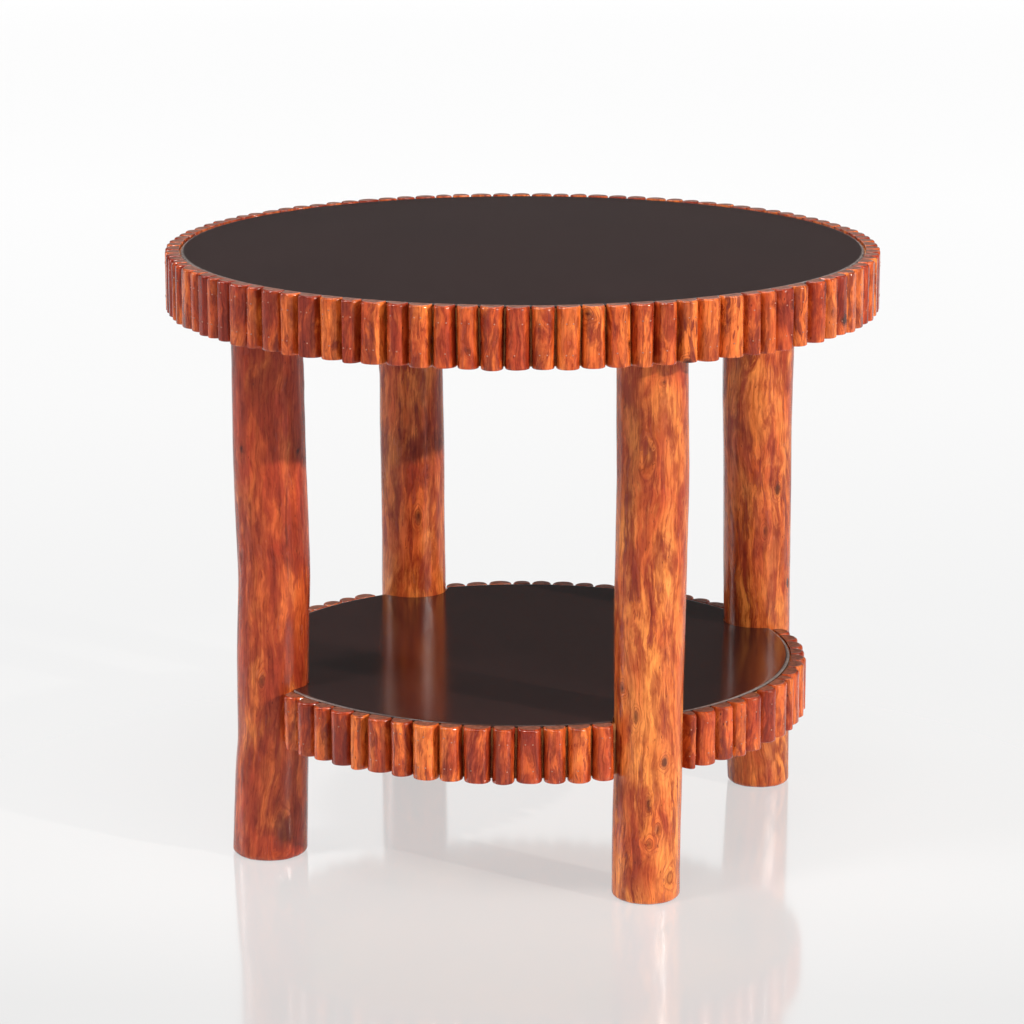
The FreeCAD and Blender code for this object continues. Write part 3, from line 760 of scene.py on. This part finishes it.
def add_slat(slat, number, made, brads):
    """One slat's points and faces, and its brads, added to those made so far."""
    turn, out, across, back, depth, top, bottom, top_edges, bottom_edges = slat
    points, faces, grain, rings, darks, sawn, tones = made
    fullness = LEAST_FULLNESS + FULLNESS_SPREAD * chance(number, 1)
    skew = SKEW_SPREAD * (chance(number, 2) - 0.5)
    square = LEAST_SHOULDER + SHOULDER_SPREAD * chance(number, 3)
    tone = slat_tone(slat, number)
    seed = 20 + 1.37 * number
    top -= HIGHEST_TOP_DROP * chance(number, 10) ** 2
    length = top - bottom
    knots = slat_knots(slat, number, (top_edges[1] - top_edges[0]) / 2)
    heights = slat_levels(length)
    start = len(points)
    outlines = []
    for height in heights:
        share = height / length
        left = bottom_edges[0] + (top_edges[0] - bottom_edges[0]) * share
        right = bottom_edges[1] + (top_edges[1] - bottom_edges[1]) * share
        left += EDGE_WANDER * wavering(share * 3.1, seed, 7) - EDGE_INSET
        right -= EDGE_WANDER * wavering(share * 3.1, seed, 11) - EDGE_INSET
        middle, half_width = (left + right) / 2, (right - left) / 2
        ease, inward = (FOOT_EASE, height) if height < length / 2 else (END_ROUNDING, length - height)
        under = max(0.0, 1 - inward / ease)
        rounding = ease * (1 - math.sqrt(max(0.0, 1 - under ** 2)))
        outline = slat_outline(half_width, depth, fullness, skew, square)
        loop = len(outline)
        z = bottom + height
        placed = []
        for place, (x, y) in enumerate(outline):
            around = 180 * place / (loop - 1)
            uneven_front = wavering(x * 140, seed, z * 24) * LUMPS + wavering(x * 40, seed, z * 9) * SWELLS
            shift, rise, ring, dark = knotted(around, z, half_width * 0.8, knots)
            inset = max(0.0, y / depth)
            y = y - rounding * inset + (uneven_front + rise - FRONT_INSET) * inset
            x *= 1 - 0.45 * rounding / half_width
            furthest = math.sqrt(CROWN_REACH ** 2 - (middle + x) ** 2) - back
            y = max(0.0, min(y, depth - FRONT_INSET, furthest))
            placed.append((middle + x, y))
            points.append(tuple(out * (back + y) + across * (middle + x) + UP * z))
            grain.append((math.radians(around) * half_width + shift, z, seed))
            rings.append(ring)
            # Painted shade: the slat's sides are darkened towards its back, in the gaps between slats
            crevice_shade = max(0.0, 1 - y / (CREVICE_SHARE * depth)) ** 1.5
            darks.append(max(dark, PAINTED_CREVICE_SHADE * crevice_shade))
            sawn.append(1.0 if under > 0.999 else 0.0)
            tones.append(tone)
        outlines.append(placed)
    faces += skin(start, loop, len(heights))
    for level, downward in ((0, True), (len(heights) - 1, False)):
        edge = range(start + level * loop, start + (level + 1) * loop)
        close_end(made, edge, SAWN_END_SHARES, downward, seed, tone)
    drive_brads(slat, number, heights, outlines, brads)


def drive_brads(slat, number, heights, outlines, brads):
    """Two rows of two brads through a slat, less the few that the varnish hides."""
    centre = sum(slat.top_edges) / 2
    for row, share in enumerate(BRAD_ROW_SHARES):
        for side in (-1, 1):
            salt = 12 + 2 * row + side
            if chance(number, salt + 20) > 1 - HIDDEN_BRADS_SHARE:
                continue
            aside = centre + side * (BRAD_HALF_SPACING + BRAD_SPREAD * chance(number, salt))
            height = heights[-1] * (share + BRAD_ROW_SPREAD * (chance(number, salt + 10) - 0.5))
            level = min(range(len(heights)), key=lambda i: abs(heights[i] - height))
            front = outlines[level][SLAT_SIDE_STEPS:-SLAT_SIDE_STEPS]
            at = min(range(1, len(front) - 1), key=lambda i: abs(front[i][0] - aside))
            x, y = front[at]
            slope_x, slope_y = front[at - 1][0] - front[at + 1][0], front[at - 1][1] - front[at + 1][1]
            facing = (slat.out * slope_x - slat.across * slope_y).normalized()
            spot = slat.out * (slat.back + y) + slat.across * x + UP * (slat.bottom + heights[level])
            add_brad(spot, facing, brads)


def brad_steel():
    """Small steel heads under the same varnish as the slats, bruised dark round their edge."""
    material, shader, add = new_material("varnished_brad_steel")
    stain = add("Attribute", attribute_name="stain").outputs["Fac"]
    cloud = clouds(add, add("TexCoord").outputs["Object"], 700.0, 3.0)
    steel = ramp(add, cloud, ((0.3, (0.26, 0.10, 0.05)), (0.7, (0.50, 0.24, 0.13))))
    bruise = ramp(add, cloud, ((0.3, (0.16, 0.024, 0.010)), (0.7, (0.26, 0.045, 0.016))))
    metal_share = calculate(add, "SUBTRACT", 0.5, calculate(add, "MULTIPLY", stain, 0.5))
    fill_in(shader, {"Base Color": blend_colours(add, stain, steel, bruise), "Roughness": 0.50,
                     "Metallic": metal_share, "Normal": relief(add, cloud, 0.2, 0.0002)})
    return material


slat_wood = varnished_hickory(
    "split_slat_wood", light=(0.68, 0.165, 0.030), amber=(0.49, 0.075, 0.015), brown=(0.30, 0.028, 0.009),
    blotch=(0.15, 0.013, 0.006), deepest=(0.030, 0.004, 0.003), sawn_light=(0.30, 0.110, 0.065),
    sawn_dark=(0.12, 0.036, 0.020), blotch_share=0.70, fineness=1.5, gloss=0.09, coat_bend=1.52)
brad_metal = brad_steel()
SLAT_NUMBERS_EACH = 20
for label, first_number in (("top_slats", 0), ("shelf_slats", 300)):
    brads = ([], [], [])
    for octant in range(1, 9):
        made = tuple([] for _ in range(7))
        for order, slat in enumerate(packed_slats("%s_%d" % (label, octant))):
            add_slat(slat, first_number + octant * SLAT_NUMBERS_EACH + order, made, brads)
        run = hickory_piece("split_%s_%d" % (label, octant), made)
        run.data.materials.append(slat_wood)
        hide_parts("%s_%d" % (label, octant))
        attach(run, "root")
    heads = make_mesh(label + "_brads", brads[0], brads[1], {"stain": brads[2]})
    heads.data.materials.append(brad_metal)
    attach(heads, "root")


# The dark covering of each board: a thin, hard, smooth sheet, glued down a little short of the
# board's edge, with its own edge rubbed round and a pale band along it that is partly wear and
# partly a painted highlight. The shelf's is cut out round the poles.

COVERING_SEGMENTS = 384
FLAT_RING_SHARES = (0.2, 0.4, 0.6, 0.8, 0.93)
EDGE_STEPS = 8
# The worn edge's width and how far it drops, at the sides and back of the table and, where it has
# stayed sharp, at the front
EDGE_WIDTH, EDGE_DROP = 0.0045, 0.0018
SHARP_WIDTH, SHARP_DROP = 0.0012, 0.0006
SHARP_SIDE, SHARP_SPREAD = 289, 48
NOTCH_CLEARANCE = 0.0008
NOTCH_TURN = 0.5


def dark_covering(name, colour, wear_and_highlight_colour):
    """A smooth, very dark brown sheet with a soft gloss, faint rubbing marks and a pale edge that is partly
    wear and partly a painted highlight.
    """
    material, shader, add = new_material(name)
    place = add("TexCoord").outputs["Object"]
    cloud = clouds(add, place, 6.0, 5.0, 0.6)
    ground = ramp(add, cloud, ((0.3, shade_of(colour, 0.92)), (0.7, shade_of(colour, 1.10))))
    edge = add("Attribute", attribute_name="edge").outputs["Fac"]
    wear = ramp(add, clouds(add, place, 160.0, 5.0, 0.7), ((0.35, 0.45), (0.6, 1.0)))
    # The pale edge colour is partly wear and partly a painted highlight along the rounded edge
    wear_and_highlight = calculate(add, "MULTIPLY", edge, wear)
    drawn = add("Mapping", {"Vector": place, "Scale": (1, 7, 1), "Rotation": (0, 0, 0.5)}).outputs[0]
    rub = clouds(add, drawn, 40.0, 6.0, 0.7)
    pores = add("TexVoronoi", {"Vector": place, "Scale": 900.0}).outputs["Distance"]
    fill_in(shader, {"Base Color": blend_colours(add, wear_and_highlight, ground, wear_and_highlight_colour),
                     "Roughness": ramp(add, rub, ((0.3, 0.13), (0.7, 0.18))),
                     "Normal": relief(add, pores, 0.02, 0.0002), "Specular IOR Level": 0.80})
    return material


def notched_reach(turn, reach, radius, notches):
    """How far out a covering's point lies once it is cut back round the poles, if it is."""
    out, notched = reach, False
    for pole_side, pole_reach, half in notches:
        off = math.radians(turned_apart(math.degrees(turn), pole_side))
        aside = pole_reach * math.sin(off)
        if abs(off) < NOTCH_TURN and abs(aside) < half:
            near = pole_reach * math.cos(off) - math.sqrt(half ** 2 - aside ** 2)
            if near < reach + 3 * EDGE_WIDTH:
                at_edge = reach > radius - EDGE_WIDTH
                out = min(out, near - 0.3 * (radius - reach) if at_edge else near - EDGE_WIDTH)
                notched = True
    return out, notched


def make_covering(name, node, notches):
    """A round sheet in a packed covering's place, from rings of points out to its rounded edge."""
    low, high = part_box(node)
    radius = (high.x - low.x) / 2
    points, edge_marks, faces = [(0, 0, high.z)], [0.0], []
    flat = [radius * share for share in FLAT_RING_SHARES] + [radius - 1.6 * EDGE_WIDTH]
    curve = [math.pi / 2 * step / EDGE_STEPS for step in range(EDGE_STEPS + 1)]
    for ring in range(len(flat) + len(curve) + 1):
        for place in range(COVERING_SEGMENTS):
            turn = 2 * math.pi * place / COVERING_SEGMENTS
            wear_and_highlight = 1 - hump(turned_apart(math.degrees(turn), SHARP_SIDE) / SHARP_SPREAD)
            width = SHARP_WIDTH + (EDGE_WIDTH - SHARP_WIDTH) * wear_and_highlight
            drop = SHARP_DROP + (EDGE_DROP - SHARP_DROP) * wear_and_highlight
            mark = 0.0
            if ring < len(flat):
                reach, z = flat[ring], high.z
            elif ring < len(flat) + len(curve):
                bend = curve[ring - len(flat)]
                reach, z = radius - width * (1 - math.sin(bend)), high.z - drop * (1 - math.cos(bend))
                # The edge's pale mark: partly wear, partly a painted highlight along the rounded edge, and
                # none at the front where the edge stays sharp
                if math.cos(bend) > 0.2:
                    mark = wear_and_highlight * max(0.0, min(1.0, 3.2 * math.sin(bend) - 0.5))
            else:
                reach, z = radius, low.z
            out, notched = notched_reach(turn, reach, radius, notches)
            if notched:
                z, mark = (high.z if z > low.z + 1e-5 else z), 0.0
            points.append((out * math.cos(turn), out * math.sin(turn), z))
            edge_marks.append(mark)
    faces += [(0, 1 + place, 1 + (place + 1) % COVERING_SEGMENTS) for place in range(COVERING_SEGMENTS)]
    faces += [(a, d, c, b) for a, b, c, d in skin(1, COVERING_SEGMENTS, len(flat) + len(curve) + 1)]
    last = 1 + (len(flat) + len(curve)) * COVERING_SEGMENTS
    faces.append(tuple(range(last, last + COVERING_SEGMENTS))[::-1])
    return make_mesh(name, points, faces, {"edge": edge_marks})


covering_finish = dark_covering("dark_covering", colour=(0.030, 0.014, 0.013),
                                wear_and_highlight_colour=(0.34, 0.30, 0.28))
pole_notches = []
covering_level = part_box("shelf_covering")[1].z
for corner in POLE_TONES:
    height, x, y, radius = min(pole_rings("leg_" + corner), key=lambda ring: abs(ring[0] - covering_level))
    pole_notches.append((math.degrees(math.atan2(y, x)), math.hypot(y, x), radius + NOTCH_CLEARANCE))
for name, node, notches in (("covering_top", "top_covering", ()),
                            ("covering_shelf", "shelf_covering", pole_notches)):
    sheet = make_covering(name, node, notches)
    sheet.data.materials.append(covering_finish)
    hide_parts(node)
    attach(sheet, "root")


# The studio: a pale glossy floor that keeps the table's shadow, a surround that is pale up to a
# little above the horizon and dim over it, so that the coverings stay dark, and lamps all round:
# a low key lamp on the right, softer ones on the left and above, and a faint one behind.

FLOOR_HALF = 14.0
FLOOR_COLOUR = (0.88, 0.88, 0.88)
# The share of the floor's look that is its own glow, near the table and far from it. The rest is
# lit, and shows the shadow.
GLOW_NEAR, GLOW_FAR = 0.83, 0.965
NEAR_REACH, FAR_REACH = 0.40, 1.00
# The glow runs from a little dark in front of the table to pale behind it, along this direction
GLOW_TOWARDS = math.radians(109)
GLOW_START, GLOW_LENGTH = -1.0, 10.0
FLOOR_GLOWS = ((0.043, 0.745), (0.072, 0.822), (0.193, 0.838), (0.326, 0.905), (0.56, 0.942), (0.96, 0.860))
# How bright the surround looks, from straight down at 0 to straight up at 1
SURROUND = ((0.505, 0.95), (0.545, 0.045), (0.690, 0.045), (0.760, 0.42), (0.95, 0.50))
SURROUND_LIGHT = (0.17, 0.17, 0.17)


def seen_outright(add):
    """1 where the camera sees a surface, itself or in a gloss, and 0 where it only gives light."""
    path = add("LightPath").outputs
    return calculate(add, "MAXIMUM", path["Is Camera Ray"], path["Is Glossy Ray"])


def make_floor():
    """A wide pale sheet under the table, glossy from above and clear from below."""
    corners = [(x * FLOOR_HALF, y * FLOOR_HALF, 0) for x, y in ((-1, -1), (1, -1), (1, 1), (-1, 1))]
    floor = make_mesh("floor", corners, [(0, 1, 2, 3)], {}, smooth=False)
    material, shader, add = new_material("pale_floor")
    place = add("TexCoord").outputs["Object"]
    direction = (math.cos(GLOW_TOWARDS), math.sin(GLOW_TOWARDS), 0)
    away = add("VectorMath", {0: place, 1: direction}, operation="DOT_PRODUCT").outputs["Value"]
    share = calculate(add, "DIVIDE", calculate(add, "SUBTRACT", away, GLOW_START), GLOW_LENGTH)
    glow = add("Emission", {"Color": ramp(add, share, FLOOR_GLOWS), "Strength": 1.0})
    fill_in(shader, {"Base Color": FLOOR_COLOUR, "Roughness": 0.6, "Specular IOR Level": 0.0})
    reach = add("VectorMath", {0: place}, operation="LENGTH").outputs["Value"]
    glow_share = ramp(add, reach, ((NEAR_REACH, GLOW_NEAR), (FAR_REACH, GLOW_FAR)))
    glowing = calculate(add, "MULTIPLY", seen_outright(add), glow_share)
    matt = add("MixShader", {0: glowing, 1: shader.outputs[0], 2: glow.outputs[0]})
    mirror = add("BsdfGlossy", {"Color": (1, 1, 1), "Roughness": 0.10})
    sheen = add("Fresnel", {"IOR": 1.60}).outputs[0]
    sheened = add("MixShader", {0: sheen, 1: matt.outputs[0], 2: mirror.outputs[0]})
    below = add("NewGeometry").outputs["Backfacing"]
    clear = add("BsdfTransparent").outputs[0]
    finish = add("MixShader", {0: below, 1: sheened.outputs[0], 2: clear})
    fill_in(material.node_tree.nodes["Material Output"], {"Surface": finish.outputs[0]})
    floor.data.materials.append(material)
    return floor


pale_floor = make_floor()
world = bpy.data.worlds.new("pale surround")
bpy.context.scene.world = world
world.use_nodes = True
add = node_maker(world.node_tree)
rise = add("SeparateXYZ", {0: add("TexCoord").outputs["Generated"]}).outputs["Z"]
surround = ramp(add, calculate(add, "MULTIPLY_ADD", rise, 0.5, 0.5), SURROUND)
look = blend_colours(add, seen_outright(add), SURROUND_LIGHT, surround)
fill_in(world.node_tree.nodes["Background"], {"Color": look})

LIT_HEIGHT = 0.40


def studio_light(name, turn, rise, distance, size, power, colour):
    """A square lamp aimed at the middle of the table, from a turn and rise in degrees."""
    lamp = bpy.data.lights.new(name, "AREA")
    lamp.size = size
    lamp.energy = power
    lamp.color = colour
    lamp_object = put_in_scene(name, lamp)
    a, e = math.radians(turn), math.radians(rise)
    away = Vector((math.cos(a) * math.cos(e), math.sin(a) * math.cos(e), math.sin(e)))
    lamp_object.location = Vector((0, 0, LIT_HEIGHT)) + away * distance
    lamp_object.rotation_euler = away.to_track_quat("Z", "Y").to_euler()
    return lamp_object


studio_light("key", turn=-17, rise=21, distance=8.0, size=0.14, power=655, colour=(1.0, 0.93, 0.86))
studio_light("side", turn=-125, rise=49, distance=6.4, size=1.2, power=220, colour=(1.0, 0.96, 0.94))
studio_light("overhead", turn=-60, rise=72, distance=5.0, size=1.6, power=95, colour=(1.0, 0.97, 0.94))
studio_light("left", turn=186, rise=17, distance=6.0, size=1.1, power=80, colour=(1.0, 0.95, 0.93))
studio_light("back_fill", turn=105, rise=42, distance=6.0, size=3.0, power=40, colour=(1.0, 0.98, 0.96))
# A broad soft box beyond the table, turned on the floor alone, gives the floor its sheen
floor_sheen = studio_light("floor_sheen", turn=109, rise=14, distance=9.0, size=6.0, power=113,
                           colour=(1.0, 1.0, 1.0))
lit_floor = bpy.data.collections.new("lit floor")
lit_floor.objects.link(pale_floor)
floor_sheen.light_linking.receiver_collection = lit_floor
floor_sheen.visible_camera = False

# The camera stands a little to the right of the front and looks down at the middle of the table
CAMERA_PLACE = (1.2922, -3.7269, 1.2730)
CAMERA_TILT, CAMERA_TURN = math.radians(76.730), math.radians(19.12)
CAMERA_LENS, CAMERA_SHIFT = 131.6, -0.01045
camera = bpy.data.cameras.new("camera")
camera.lens = CAMERA_LENS
camera.shift_x = CAMERA_SHIFT
camera_object = put_in_scene("camera", camera)
camera_object.location = CAMERA_PLACE
camera_object.rotation_euler = (CAMERA_TILT, 0, CAMERA_TURN)
bpy.context.scene.camera = camera_object
bpy.context.scene.view_settings.view_transform = "Standard"
